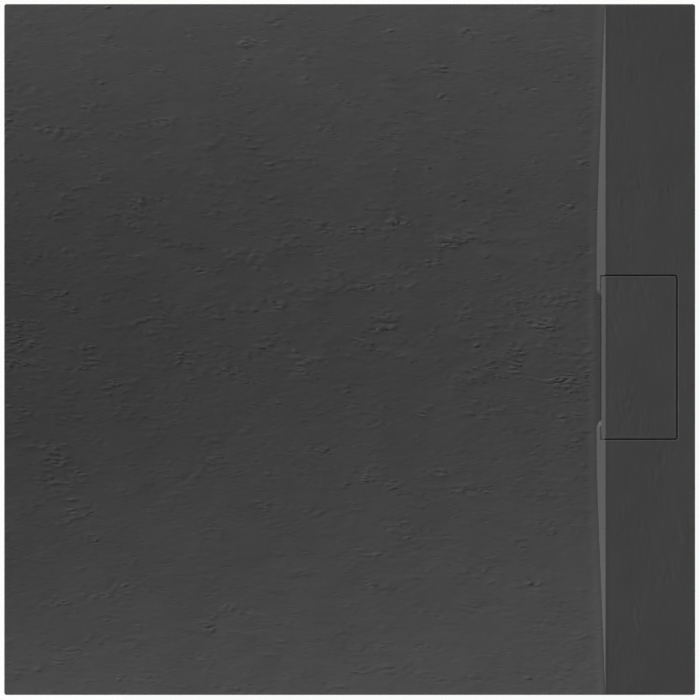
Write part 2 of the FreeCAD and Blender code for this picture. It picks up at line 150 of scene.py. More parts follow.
def blendColour(tree, factor, first, second, mode="MIX"):
    # one Mix node on colours; factor and colours are values or sockets
    node = add(tree, "ShaderNodeMix", data_type="RGBA", blend_type=mode)
    for index, value in ((0, factor), (6, first), (7, second)):
        if isinstance(value, bpy.types.NodeSocket):
            tree.links.new(value, node.inputs[index])
        else:
            node.inputs[index].default_value = value
    return node.outputs[2]


def spread(tree, value, low, high, toLow=0.0, toHigh=1.0):
    # smooth step of a value from one range to another
    inputs = {"Value": value, "From Min": low, "From Max": high, "To Min": toLow, "To Max": toHigh}
    return add(tree, "ShaderNodeMapRange", inputs, interpolation_type="SMOOTHSTEP").outputs["Result"]


def noise(tree, vector, scale, detail, roughness, distortion=0.0):
    # cloudy value from 0 to 1; scale is in clouds per metre
    inputs = {"Vector": vector, "Scale": scale, "Detail": detail, "Roughness": roughness,
              "Distortion": distortion}
    return add(tree, "ShaderNodeTexNoise", inputs).outputs["Fac"]


def stretched(tree, vector, scale, turn=(0.0, 0.0, 0.0)):
    # the pattern's coordinates scaled and turned
    return add(tree, "ShaderNodeMapping", {"Vector": vector, "Scale": scale, "Rotation": turn}).outputs[0]


def grey(value):
    # one value as an opaque colour
    return (value, value, value, 1.0)


def newGroup(name, inputs, outputs):
    # an empty node group: its tree, what it is given and where it puts out
    tree = bpy.data.node_groups.new(name, "ShaderNodeTree")
    for title, kind in inputs.items():
        tree.interface.new_socket(title, in_out="INPUT", socket_type="NodeSocket" + kind)
    for title in outputs:
        tree.interface.new_socket(title, in_out="OUTPUT", socket_type="NodeSocketFloat")
    groups[name] = tree
    return tree, tree.nodes.new("NodeGroupInput").outputs, tree.nodes.new("NodeGroupOutput").inputs


def place(tree, group, **inputs):
    # one shared effect in a material, with this material's values
    node = add(tree, "ShaderNodeGroup", node_tree=groups[group])
    for name, value in inputs.items():
        if isinstance(value, bpy.types.NodeSocket):
            tree.links.new(value, node.inputs[name])
        else:
            node.inputs[name].default_value = value
    return node.outputs


groups = {}


# effects shared by several finishes

cleft = {
    "turns": (0.06, -0.16),  # radians that its two layers of dents are turned
    "patches": (0.42, 0.6),  # slow noise from which dents begin, and where they are at full depth
    "rim": (0.08, 0.46),  # a dent's floor and its rim, in cells from the cell's point
    "chance": (0.5, 0.9),
}


def buildCleft():
    # slate skin: short flat dents, one in each stretched Voronoi cell whose chance and slow noise are high
    tree, given, out = newGroup(
        "cleftSkin", {"Vector": "Vector", "Along": "Vector", "Patches": "Float"}, ["Height"])
    slow = noise(tree, given["Vector"], given["Patches"], detail=3.0, roughness=0.6, distortion=0.3)
    patch = spread(tree, slow, *cleft["patches"])
    deepest = None
    for turn in cleft["turns"]:
        turned = stretched(tree, given["Vector"], (1.0, 1.0, 1.0), (0.0, 0.0, turn))
        drawn = add(tree, "ShaderNodeVectorMath", {0: turned, 1: given["Along"]}, operation="MULTIPLY")
        cells = add(tree, "ShaderNodeTexVoronoi", {"Vector": drawn.outputs[0], "Scale": 1.0}).outputs
        chance = add(tree, "ShaderNodeSeparateColor", {"Color": cells["Color"]}).outputs[0]
        near = spread(tree, cells["Distance"], *cleft["rim"], toLow=1.0, toHigh=0.0)
        dent = calc(tree, "MULTIPLY", near, spread(tree, chance, *cleft["chance"]))
        deepest = dent if deepest is None else calc(tree, "MAXIMUM", deepest, dent)
    tree.links.new(calc(tree, "MULTIPLY", calc(tree, "MULTIPLY", deepest, patch), -1.0), out["Height"])


sand = {
    "speck": (0.12, 0.3),  # a speck's body and its rim, in cells
    "rare": (0.93, 0.95),  # one cell in fifteen holds a speck
    "clouds": 14.0,  # clouds per metre
}


def buildGrain():
    # fine sand grain, a few specks and a slow cloud
    tree, given, out = newGroup(
        "fineGrain", {"Vector": "Vector", "Scale": "Float", "Specks": "Float"}, ["Height", "Speck", "Cloud"])
    fine = noise(tree, given["Vector"], given["Scale"], detail=2.0, roughness=0.6)
    cells = add(tree, "ShaderNodeTexVoronoi", {"Vector": given["Vector"], "Scale": given["Specks"],
                                               "Randomness": 1.0})
    chance = add(tree, "ShaderNodeSeparateColor", {"Color": cells.outputs["Color"]}).outputs[0]
    near = spread(tree, cells.outputs["Distance"], *sand["speck"], toLow=1.0, toHigh=0.0)
    rare = spread(tree, chance, *sand["rare"])
    tree.links.new(fine, out["Height"])
    tree.links.new(calc(tree, "MULTIPLY", near, rare), out["Speck"])
    tree.links.new(noise(tree, given["Vector"], sand["clouds"], detail=3.0, roughness=0.55), out["Cloud"])


rubbed = {
    "samples": 4,
    "level": 0.995,  # cosine between rounded and own normal on a plain face, away from edges
    "patches": 160.0,  # per metre
    "broken": (0.35, 0.65),
}


def buildWearAndHighlight():
    # paler edges, worn, and on the slate also a painted highlight: where the surface's rounded normal leaves
    # its own, broken up by noise
    tree, given, out = newGroup(
        "edgeWearAndHighlight", {"Vector": "Vector", "Width": "Float", "Amount": "Float", "Start": "Float"}, ["Edge"])
    rounded = add(tree, "ShaderNodeBevel", {"Radius": given["Width"]}, samples=rubbed["samples"]).outputs[0]
    own = add(tree, "ShaderNodeNewGeometry").outputs["Normal"]
    facing = add(tree, "ShaderNodeVectorMath", {0: rounded, 1: own}, operation="DOT_PRODUCT").outputs["Value"]
    edge = spread(tree, facing, given["Start"], rubbed["level"], toLow=1.0, toHigh=0.0)
    patches = noise(tree, given["Vector"], rubbed["patches"], detail=3.0, roughness=0.6)
    broken = spread(tree, patches, *rubbed["broken"])
    tree.links.new(calc(tree, "MULTIPLY", calc(tree, "MULTIPLY", edge, broken), given["Amount"]), out["Edge"])


dust = {
    "facing": (0.3, 0.95),  # upward share of the normal where dust begins, and where it is full
    "patches": 60.0,  # per metre
    "patchy": (0.3, 0.7),
    "colour": (0.3, 0.29, 0.27, 1.0),
    "onRubber": (0.2, 0.19, 0.18, 1.0),
    "rougher": 0.3,
}


def buildDust():
    # dust that settles where the surface faces up, thicker in patches
    tree, given, out = newGroup("settledDust", {"Vector": "Vector", "Amount": "Float"}, ["Dust"])
    up = add(tree, "ShaderNodeSeparateXYZ", {0: add(tree, "ShaderNodeNewGeometry").outputs["Normal"]})
    level = spread(tree, up.outputs["Z"], *dust["facing"])
    patches = noise(tree, given["Vector"], dust["patches"], detail=4.0, roughness=0.6)
    lying = calc(tree, "MULTIPLY", level, spread(tree, patches, *dust["patchy"]))
    tree.links.new(calc(tree, "MULTIPLY", lying, given["Amount"]), out["Dust"])


def buildBrush():
    # fine parallel scratches: noise drawn out along one axis
    tree, given, out = newGroup(
        "brushLines", {"Vector": "Vector", "Along": "Vector", "Patches": "Float"}, ["Height", "Patch"])
    drawn = stretched(tree, given["Vector"], given["Along"])
    tree.links.new(noise(tree, drawn, 1.0, detail=3.0, roughness=0.7), out["Height"])
    patches = noise(tree, given["Vector"], given["Patches"], detail=3.0, roughness=0.6)
    tree.links.new(patches, out["Patch"])


for build in (buildCleft, buildGrain, buildWearAndHighlight, buildDust, buildBrush):
    build()
report("shared effects")


# finishes

def newMaterial(name):
    # the material, its tree, its Principled shader and the Object coordinates
    material = bpy.data.materials.new(name)
    material.use_nodes = True
    tree = material.node_tree
    tree.nodes.clear()
    shader = tree.nodes.new("ShaderNodeBsdfPrincipled")
    tree.links.new(shader.outputs[0], tree.nodes.new("ShaderNodeOutputMaterial").inputs["Surface"])
    local = tree.nodes.new("ShaderNodeTexCoord").outputs["Object"]
    return material, tree, shader, local


def feed(tree, shader, colour, roughness, height, depth):
    # all three are sockets; height is in units of depth, which is in metres
    tree.links.new(colour, shader.inputs["Base Color"])
    tree.links.new(roughness, shader.inputs["Roughness"])
    bump = add(tree, "ShaderNodeBump", {"Height": height, "Distance": depth, "Strength": 1.0})
    tree.links.new(bump.outputs[0], shader.inputs["Normal"])


def wornHighlitEdges(tree, local, finish):
    # how pale each place's edges go, from wear and on the slate also as a painted highlight, with the
    # finish's own width, amount and start
    return place(tree, "edgeWearAndHighlight", Vector=local, Width=finish["wearWidth"], Amount=finish["wearAndHighlight"],
                 Start=finish["wearStart"])["Edge"]


clouds = (0.3, 0.7)  # the noise values between which a cloud goes from nothing to full


slate = {
    "colour": 0.0522,
    "stripShade": 0.918,
    "sheen": 0.5,  # specular level
    "floorAlong": (72.0, 285.0, 60.0),  # dents per metre along X, Y and Z
    "stripAlong": (300.0, 60.0, 60.0),
    "skinDepth": 0.00024,
    "stripSkinDepth": 0.00002,
    "patches": 45.0,
    "sandScale": 900.0,
    "sandSpecks": 240.0,
    "sandShare": 0.05,  # sand grain's height, against a dent's depth
    "clouding": (0.97, 1.03),  # shade at the clouds' two ends
    "blueness": 1.01,
    "speckShare": 0.12,
    "speckTone": 0.12,
    "rough": (0.36, 0.44),
    "wearWidth": 0.0008,
    "wearStart": 0.91,  # cosine between rounded and own normal from which an edge is fully pale
    "wearAndHighlight": 0.55,  # how far its edges and the sharpest flecks have gone pale, partly as wear and partly as a painted highlight
    "wornHighlitTo": 0.13,
    # painted light and shade over the floor, lighter towards the front and back and darker left of the
    # middle: level + x, y, y2, x*y2 and y4 terms, over half the tray's side
    "tone": (0.898, 0.145, -0.026, 0.408, -0.13, -0.04),
}


def makeSlate(name, along, depth, withPaintedLight):
    # slate resin: dents and sand as height; as colour, painted light and shade over the floor, clouds,
    # specks, and paler edges that are partly wear and partly a painted highlight
    material, tree, shader, local = newMaterial(name)
    skin = place(tree, "cleftSkin", Vector=local, Along=along, Patches=slate["patches"])
    grain = place(tree, "fineGrain", Vector=local, Scale=slate["sandScale"], Specks=slate["sandSpecks"])
    wearAndHighlight = wornHighlitEdges(tree, local, slate)
    shade = spread(tree, grain["Cloud"], *clouds, *slate["clouding"])
    # on the floor the clouds are multiplied by painted light and shade; on the strip and cover by the strip's
    # own tone
    shade = calc(tree, "MULTIPLY", shade, paintedLightTone(tree, local) if withPaintedLight else slate["stripShade"])
    blue = calc(tree, "MULTIPLY", shade, slate["blueness"])
    base = add(tree, "ShaderNodeCombineColor", {0: shade, 1: shade, 2: blue})
    colour = blendColour(tree, 1.0, base.outputs[0], grey(slate["colour"]), "MULTIPLY")
    specks = calc(tree, "MULTIPLY", grain["Speck"], slate["speckShare"])
    colour = blendColour(tree, specks, colour, grey(slate["speckTone"]))
    # the slate's paler edges and sharpest flecks: partly wear, partly a painted highlight
    colour = blendColour(tree, wearAndHighlight, colour, grey(slate["wornHighlitTo"]))
    roughness = spread(tree, grain["Cloud"], *clouds, *slate["rough"])
    height = calc(tree, "MULTIPLY_ADD", grain["Height"], slate["sandShare"], skin["Height"])
    feed(tree, shader, colour, roughness, height=height, depth=depth)
    shader.inputs["Specular IOR Level"].default_value = slate["sheen"]
    return material


def paintedLightTone(tree, local):
    # painted light and shade on the floor only, 1 on the strip and cover: a + b x + c y + d y^2 + e x y^2 + f
    # y^4, with x and y from -1 to 1
    part = add(tree, "ShaderNodeSeparateXYZ", {0: local})
    x = calc(tree, "DIVIDE", part.outputs["X"], -fall["left"])
    y = calc(tree, "DIVIDE", part.outputs["Y"], -fall["front"])
    square = calc(tree, "MULTIPLY", y, y)
    a, b, c, d, e, f = slate["tone"]
    total = calc(tree, "MULTIPLY_ADD", x, b, a)
    total = calc(tree, "MULTIPLY_ADD", y, c, total)
    total = calc(tree, "MULTIPLY_ADD", square, d, total)
    total = calc(tree, "MULTIPLY_ADD", calc(tree, "MULTIPLY", x, square), e, total)
    total = calc(tree, "MULTIPLY_ADD", calc(tree, "MULTIPLY", square, square), f, total)
    onFloor = calc(tree, "LESS_THAN", part.outputs["X"], fall["stepX"])
    return calc(tree, "MULTIPLY_ADD", calc(tree, "SUBTRACT", total, 1.0), onFloor, 1.0)


castBack = {
    "grainScale": 700.0,
    "specks": 420.0,
    "pinholes": 180.0,  # cells per metre
    "pinholeRim": (0.06, 0.14),
    "dark": 0.17,
    "pale": 0.27,
    "speckTone": 0.36,
    "pinholeShadeTone": 0.05,
    "grainShare": 0.5,
    "depth": 0.0003,
    "rough": (0.75, 0.9),
}


def makeCastBack():
    # raw underside of the casting: mineral filler, pinholes with painted shade in them, and a trowelled haze
    material, tree, shader, local = newMaterial("castBack")
    grain = place(tree, "fineGrain", Vector=local, Scale=castBack["grainScale"], Specks=castBack["specks"])
    holes = add(tree, "ShaderNodeTexVoronoi", {"Vector": local, "Scale": castBack["pinholes"]})
    pinhole = spread(tree, holes.outputs["Distance"], *castBack["pinholeRim"], toLow=1.0, toHigh=0.0)
    colour = blendColour(tree, grain["Cloud"], grey(castBack["dark"]), grey(castBack["pale"]))
    colour = blendColour(tree, grain["Speck"], colour, grey(castBack["speckTone"]))
    # painted shade: each pinhole is coloured dark
    colour = blendColour(tree, pinhole, colour, grey(castBack["pinholeShadeTone"]))
    height = calc(tree, "SUBTRACT", calc(tree, "MULTIPLY", grain["Height"], castBack["grainShare"]), pinhole)
    roughness = spread(tree, grain["Cloud"], *clouds, *castBack["rough"])
    feed(tree, shader, colour, roughness, height=height, depth=castBack["depth"])
    return material


moulded = {
    "specks": 200.0,
    "wearWidth": 0.0008,
    "wearStart": 0.8,
    "wearAndHighlight": 0.4,
    "paler": 1.08,  # the mottling's two ends, against the plastic's own colour
    "deeper": 0.9,
    "smoother": 0.05,
    "rougher": 0.06,
    "depth": 0.00004,
}


def makeMoulded(name, tint, rough, dusty, wornHighlitTo, texture):
    # moulded plastic: spark-eroded skin, slight mottling, rubbed edges and a little dust
    material, tree, shader, local = newMaterial(name)
    grain = place(tree, "fineGrain", Vector=local, Scale=texture, Specks=moulded["specks"])
    wearAndHighlight = wornHighlitEdges(tree, local, moulded)
    lying = place(tree, "settledDust", Vector=local, Amount=dusty)
    pale = tuple(min(1.0, c * moulded["paler"]) for c in tint) + (1.0,)
    deep = tuple(c * moulded["deeper"] for c in tint) + (1.0,)
    colour = blendColour(tree, grain["Cloud"], deep, pale)
    colour = blendColour(tree, wearAndHighlight, colour, grey(wornHighlitTo))
    colour = blendColour(tree, lying["Dust"], colour, dust["colour"])
    skin = spread(tree, grain["Cloud"], *clouds, rough - moulded["smoother"], rough + moulded["rougher"])
    roughness = calc(tree, "ADD", skin, calc(tree, "MULTIPLY", lying["Dust"], dust["rougher"]), clamp=True)
    feed(tree, shader, colour, roughness, height=grain["Height"], depth=moulded["depth"])
    return material


metal = {
    "wearWidth": 0.0005,
    "wearStart": 0.8,
    "wearAndHighlight": 0.6,
    "bright": 0.8,  # worn edges
    "stains": (0.45, 0.75),
    "patches": 45.0,
    "varies": 0.07,  # roughness either side of its own
    "stainRougher": 0.3,
    "depth": 0.00002,
}


def makeMetal(name, tint, along, rough, tarnish, amount):
    # brushed or plated steel with stained patches and bright edges
    material, tree, shader, local = newMaterial(name)
    lines = place(tree, "brushLines", Vector=local, Along=along, Patches=metal["patches"])
    wearAndHighlight = wornHighlitEdges(tree, local, metal)
    stain = calc(tree, "MULTIPLY", spread(tree, lines["Patch"], *metal["stains"]), amount)
    colour = blendColour(tree, stain, tint, tarnish)
    colour = blendColour(tree, wearAndHighlight, colour, grey(metal["bright"]))
    brushed = spread(tree, lines["Height"], *clouds, rough - metal["varies"], rough + metal["varies"])
    roughness = calc(tree, "ADD", brushed, calc(tree, "MULTIPLY", stain, metal["stainRougher"]), clamp=True)
    feed(tree, shader, colour, roughness, height=lines["Height"], depth=metal["depth"])
    shader.inputs["Metallic"].default_value = 1.0
    return material


rubber = {
    "texture": 1600.0,
    "specks": 150.0,
    "dusty": 0.25,
    "wearWidth": 0.0006,
    "wearStart": 0.8,
    "wearAndHighlight": 0.3,
    "dark": 0.016,
    "pale": 0.028,
    "wornHighlitTo": 0.07,
    "rough": (0.7, 0.86),
    "depth": 0.00005,
}


def makeRubber():
    # matt black rubber: mottled, greyed at its edges and dusty on top
    material, tree, shader, local = newMaterial("blackRubber")
    grain = place(tree, "fineGrain", Vector=local, Scale=rubber["texture"], Specks=rubber["specks"])
    lying = place(tree, "settledDust", Vector=local, Amount=rubber["dusty"])
    wearAndHighlight = wornHighlitEdges(tree, local, rubber)
    colour = blendColour(tree, grain["Cloud"], grey(rubber["dark"]), grey(rubber["pale"]))
    colour = blendColour(tree, wearAndHighlight, colour, grey(rubber["wornHighlitTo"]))
    colour = blendColour(tree, lying["Dust"], colour, dust["onRubber"])
    roughness = spread(tree, grain["Cloud"], *clouds, *rubber["rough"])
    feed(tree, shader, colour, roughness, height=grain["Height"], depth=rubber["depth"])
    return material


finishes = {
    "slate": makeSlate("slateResin", slate["floorAlong"], slate["skinDepth"], True),
    "slateStrip": makeSlate("slateResinStrip", slate["stripAlong"], slate["stripSkinDepth"], False),
    "castBack": makeCastBack(),
    "trap": makeMoulded("trapPlastic", (0.72, 0.73, 0.73), rough=0.38, dusty=0.25, wornHighlitTo=0.85,
                        texture=900.0),
    "nut": makeMoulded("nutPlastic", (0.66, 0.68, 0.69), rough=0.42, dusty=0.25, wornHighlitTo=0.85,
                       texture=1200.0),
    "insert": makeMoulded("insertPlastic", (0.3, 0.32, 0.34), rough=0.4, dusty=0.1, wornHighlitTo=0.5,
                          texture=1000.0),
    "foot": makeMoulded("footPlastic", (0.035, 0.035, 0.038), rough=0.5, dusty=0.3, wornHighlitTo=0.1,
                        texture=1100.0),
    "stainless": makeMetal("stainlessSteel", (0.62, 0.62, 0.61, 1.0), along=(60.0, 2600.0, 2600.0),
                           rough=0.28, tarnish=(0.4, 0.38, 0.34, 1.0), amount=0.25),
    "zinc": makeMetal("zincSteel", (0.55, 0.56, 0.58, 1.0), along=(900.0, 900.0, 300.0), rough=0.36,
                      tarnish=(0.5, 0.44, 0.3, 1.0), amount=0.5),
    "rubber": makeRubber(),
}
report("finishes")


# tray and cover: the CAD shape with the slate relief carved into it

def fallDepth(y):
    # straight from each end, then depth - sag * (1 - t)^2 up to the level middle
    depth, run, soft = fall["depth"], fall["run"], fall["ease"]
    s = np.maximum(-fall["front"] - np.abs(y), 0.0)
    t = np.clip((s - run + soft) / (2 * soft), 0.0, 1.0)
    eased = depth - depth * soft / run * (1 - t) ** 2
    return np.where(s < run - soft, depth * s / run, eased)


def footX(y):
    # X of the step's foot: its upper edge less the fall's depth / tan(angle)
    return fall["stepX"] - fallDepth(y) / math.tan(math.radians(fall["angle"]))


def floorZ(x, y):
    # rulings from the left edge to the step's foot
    return fall["top"] - fallDepth(y) * (x - fall["left"]) / (footX(y) - fall["left"])


def waves(shape, spacing):
    # the frequencies of a map's rows and columns, in cycles per metre
    return np.fft.fftfreq(shape[0], spacing[0])[:, None], np.fft.rfftfreq(shape[1], spacing[1])[None, :]


def cloud(rng, shape, spacing, sizes):
    # white noise kept below a Gaussian cut-off along Y and X, scaled to unit deviation
    fy, fx = waves(shape, spacing)
    keep = np.exp(-(math.pi * fy * sizes[0]) ** 2 - (math.pi * fx * sizes[1]) ** 2)
    field = np.fft.irfft2(np.fft.rfft2(rng.standard_normal(shape)) * keep, shape)
    return (field - field.mean()) / field.std()


def ease(value, low, high):
    # smooth step from 0 at low to 1 at high: t^2 (3 - 2 t)
    t = np.clip((value - low) / (high - low), 0.0, 1.0)
    return t * t * (3 - 2 * t)


def grainBand(rng, shape, spacing, wave, longer, tilt):
    # white noise held to a ring of frequencies, squashed along the grain: exp(-ln(k * wave)^2 / ring)
    fy, fx = waves(shape, spacing)
    along = fx * math.cos(tilt) + fy * math.sin(tilt)
    across = fy * math.cos(tilt) - fx * math.sin(tilt)
    k = np.maximum(np.hypot(across, along * longer) * wave, 1e-6)
    keep = np.exp(-np.log(k) ** 2 / relief["ring"])
    field = np.fft.irfft2(np.fft.rfft2(rng.standard_normal(shape)) * keep, shape)
    return field / field.std()


def dents(rng, shape, spacing, many, length, width, tilt, chance):
    # scattered impulses times chance, folded with exp(-(a/length)^2 - (b/width)^2), steeper on its upper side
    hits = np.zeros(shape)
    smallest, power = relief["strokeSizes"]
    places = rng.integers(0, hits.size, many)
    np.add.at(hits.reshape(-1), places, rng.uniform(smallest, 1.0, many) ** power)
    y = np.fft.fftfreq(shape[0], 1 / shape[0])[:, None] * spacing[0]
    x = np.fft.fftfreq(shape[1], 1 / shape[1])[None, :] * spacing[1]
    a = x * math.cos(tilt) + y * math.sin(tilt)
    b = y * math.cos(tilt) - x * math.sin(tilt)
    upper, lower = relief["strokeSides"]
    kernel = np.exp(-(a / length) ** 2 - (b / np.where(b > 0, width * upper, width * lower)) ** 2)
    return np.fft.irfft2(np.fft.rfft2(hits * chance) * np.fft.rfft2(kernel), shape)


relief = {
    "seed": 41,
    "rowStep": 0.0011,  # metres between the floor map's rows, along Y
    "columns": 440,
    "keep": 0.208,  # share of the map's triangles left after thinning
    "bands": (  # wavelength across the grain, how many times longer along it, slope deviation
        (0.0037, 2.3, 0.235),
        (0.0054, 2.4, 0.225),
        (0.0082, 2.4, 0.142),
        (0.014, 2.6, 0.060),
        (0.026, 2.4, 0.036),
        (0.05, 2.0, 0.030),
    ),
    "ring": 0.16,  # how wide a band of frequencies each band takes
    "tilts": (-0.02, -0.20),  # radians that the grain is turned, in its two ways
    "tiltTurn": (-0.6, 0.6),  # cloud values between which it goes from one way to the other
    "broadCloud": (0.05, 0.08),  # metres along Y and X
    "fleckCloud": (0.007, 0.014),
    "tiltCloud": (0.02, 0.03),
    "ownCloud": 1.2,  # a band's own cloud across the grain, in wavelengths
    "ringShare": 0.8,  # height that a ring of frequencies has, against one wave's of the same slope
    "gains": (0.12, 0.42, 0.4),  # how much the broad, fleck and own clouds strengthen a band
    "raised": 0.6,  # height of a rise, against the depth of a like dip
    "strokes": (  # how many on a square metre, half length, half width, tilt, depth
        (12000, 0.0040, 0.0010, -0.05, 0.00040),
        (3600, 0.0065, 0.0011, -0.12, 0.00040),
        (2400, 0.0030, 0.0011, 0.35, 0.00034),
        (2400, 0.0030, 0.0011, -0.7, 0.00034),
    ),
    "strokeSizes": (0.25, 1.5),  # smallest share of the depth, and the power that makes deep ones rare
    "strokeSides": (0.7, 1.3),  # width of a stroke's upper and lower side, against its half width
    "broadShare": 0.3,  # the broad cloud's share in where the strokes gather
    "strokeChance": (-0.4, 1.6),  # cloud values from which strokes begin, and where all are kept
    "level": 0.5,  # percent of the map that is cut off level with the smooth face
    "deepest": 0.0011,
    "creases": (  # two long cleavage lines that meet near the floor's middle
        ((-0.175, 0.326), (-0.149, 0.176), (-0.077, 0.091), (-0.019, 0.038)),
        ((-0.019, 0.038), (-0.110, -0.066), (-0.175, -0.131), (-0.259, -0.203)),
    ),
    "creaseDepth": 0.00016,
    "creaseWidth": 0.005,
    "strip": 0.21,  # the strip's and the cover's relief, against the floor's
    "stripKeep": 0.4,
    "stripBands": 2,  # the finest bands that the strip and the cover leave out
}


def slateField(rng, shape, spacing, leaveOut=0):
    # depth below the smooth face, in metres: bands of stretched noise and short strokes, both stronger where
    # slow noises are high; gain = exp(a broad + b fleck + c own)
    broad = cloud(rng, shape, spacing, relief["broadCloud"])
    fleck = cloud(rng, shape, spacing, relief["fleckCloud"])
    byBroad, byFleck, byOwn = relief["gains"]
    depth = np.zeros(shape)
    for wave, longer, slope in relief["bands"][leaveOut:]:
        way = ease(cloud(rng, shape, spacing, relief["tiltCloud"]), *relief["tiltTurn"])
        one, other = (grainBand(rng, shape, spacing, wave, longer, tilt) for tilt in relief["tilts"])
        lines = way * one + (1 - way) * other
        own = cloud(rng, shape, spacing, (wave * relief["ownCloud"], wave * longer))
        lines = lines * np.exp(byBroad * broad + byFleck * fleck + byOwn * own)
        lines = np.where(lines > 0, lines, relief["raised"] * lines)
        # a wave's height is its slope * wavelength / 2 pi
        depth += lines * relief["ringShare"] * slope * wave / (2 * math.pi) / lines.std()
    if leaveOut:
        return depth
    chance = ease(fleck + relief["broadShare"] * broad, *relief["strokeChance"])
    area = shape[0] * spacing[0] * shape[1] * spacing[1]
    for many, length, width, tilt, deep in relief["strokes"]:
        depth += deep * dents(rng, shape, spacing, int(many * area), length, width, tilt, chance)
    return depth


def creaseField(x, y):
    # exp(-(distance to a broken line / width)^2), deepest of all its runs
    nearest = np.full(x.shape, 1.0)
    for line in relief["creases"]:
        for (x0, y0), (x1, y1) in zip(line, line[1:]):
            run = np.array((x1 - x0, y1 - y0))
            t = np.clip(((x - x0) * run[0] + (y - y0) * run[1]) / (run @ run), 0.0, 1.0)
            nearest = np.minimum(nearest, np.hypot(x - x0 - t * run[0], y - y0 - t * run[1]))
    return np.exp(-(nearest / relief["creaseWidth"]) ** 2)


carving = {
    "beyond": 0.451,  # the cutters reach this far from the middle
    "plate": 0.004,  # from the tray's top up to the cutters' own
    "weld": 2e-6,
    "sharpAt": 28.0,  # degrees
    "footSpan": 0.4504,  # from the middle to the floor cutter's left end, less its stop before the foot
    "footFade": (0.0008, 0.012),  # from the step's foot to where the relief begins and is full
    "floorLength": 0.773,  # of the map's rows, for the scale of the relief along X
    "rougher": (0.85, 0.5, 0.02, 0.2),  # relief at the ends, more in the middle, the middle's Y, its width
    "under": 0.00004,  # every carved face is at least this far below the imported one
    "underMiddle": 0.00088,
    "above": 0.00006,  # where it isn't carved, the cutter passes this far above
    "stripColumns": 100,
    "stripRows": 300,
    "stripFrom": 0.0005,  # from the step's upper edge
    "stripUnder": 0.00003,
    "stripFade": (0.0006, 0.004),
}


def cutter(name, x, y, z, keep):
    # a closed block: its underside is the grid x, y, z and its top a plate above the tray
    rows, columns = x.shape
    top = fall["top"] + carving["plate"]
    index = np.arange(rows * columns).reshape(rows, columns)
    low = np.stack((x, y, z), -1).reshape(-1, 3)
    quads = np.stack((index[:-1, :-1], index[1:, :-1], index[1:, 1:], index[:-1, 1:]), -1).reshape(-1, 4)
    ring = np.concatenate((index[0, :-1], index[:-1, -1], index[-1, :0:-1], index[:0:-1, 0]))
    high = low[ring].copy()
    high[:, 2] = top
    upper = np.arange(len(ring)) + len(low)
    nextRing, nextUpper = np.roll(ring, -1), np.roll(upper, -1)
    walls = np.stack((ring, nextRing, nextUpper, upper), -1)
    mesh = bpy.data.meshes.new(name)
    faces = np.concatenate((quads, walls)).tolist() + [upper.tolist()]
    mesh.from_pydata(np.concatenate((low, high)), [], faces)
    piece = putInScene(name, mesh)
    if keep < 1:
        thin = piece.modifiers.new("thin", "DECIMATE")
        thin.ratio = keep
        applied(piece)
    return piece


def applied(piece):
    # the piece's mesh with its modifiers worked in
    whole = bpy.data.meshes.new_from_object(piece.evaluated_get(bpy.context.evaluated_depsgraph_get()))
    piece.modifiers.clear()
    spare, piece.data = piece.data, whole
    bpy.data.meshes.remove(spare)


def mergedCopy(node, name):
    # a CAD node's loose triangles joined into one closed mesh
    mesh = nodes[node].data.copy()
    shape = bmesh.new()
    shape.from_mesh(mesh)
    bmesh.ops.remove_doubles(shape, verts=shape.verts, dist=carving["weld"])
    bmesh.ops.dissolve_degenerate(shape, edges=shape.edges, dist=carving["weld"])
    shape.to_mesh(mesh)
    shape.free()
    mesh.name = name
    for attribute in [a for a in mesh.attributes if a.name in ("custom_normal", "sharp_face", "sharp_edge")]:
        mesh.attributes.remove(attribute)
    return putInScene(name, mesh)


def carve(piece, cutters):
    # the piece less its cutters, which are then thrown away
    for block in cutters:
        cut = piece.modifiers.new("carve", "BOOLEAN")
        cut.operation = "DIFFERENCE"
        cut.solver = "MANIFOLD"
        cut.object = block
    applied(piece)
    for block in cutters:
        bpy.data.objects.remove(block)


def faceData(mesh, name, width):
    # one value or vector of each face, as rows
    values = np.zeros(len(mesh.polygons) * width, np.float32)
    mesh.polygons.foreach_get(name, values)
    return values.reshape(-1, width)


def settled(depth):
    # all of it below the smooth face, and its deepest places eased to the greatest depth
    deepest = relief["deepest"]
    depth = depth - np.percentile(depth, relief["level"])
    return deepest * np.tanh(np.maximum(depth, 0.0) / deepest)


def plainField(rng, xs, ys):
    # the calmer skin of the strip and the cover, with its grain along Y
    deep = slateField(rng, (len(xs), len(ys)), (xs[1] - xs[0], ys[1] - ys[0]), relief["stripBands"]).T
    return settled(deep * relief["strip"])


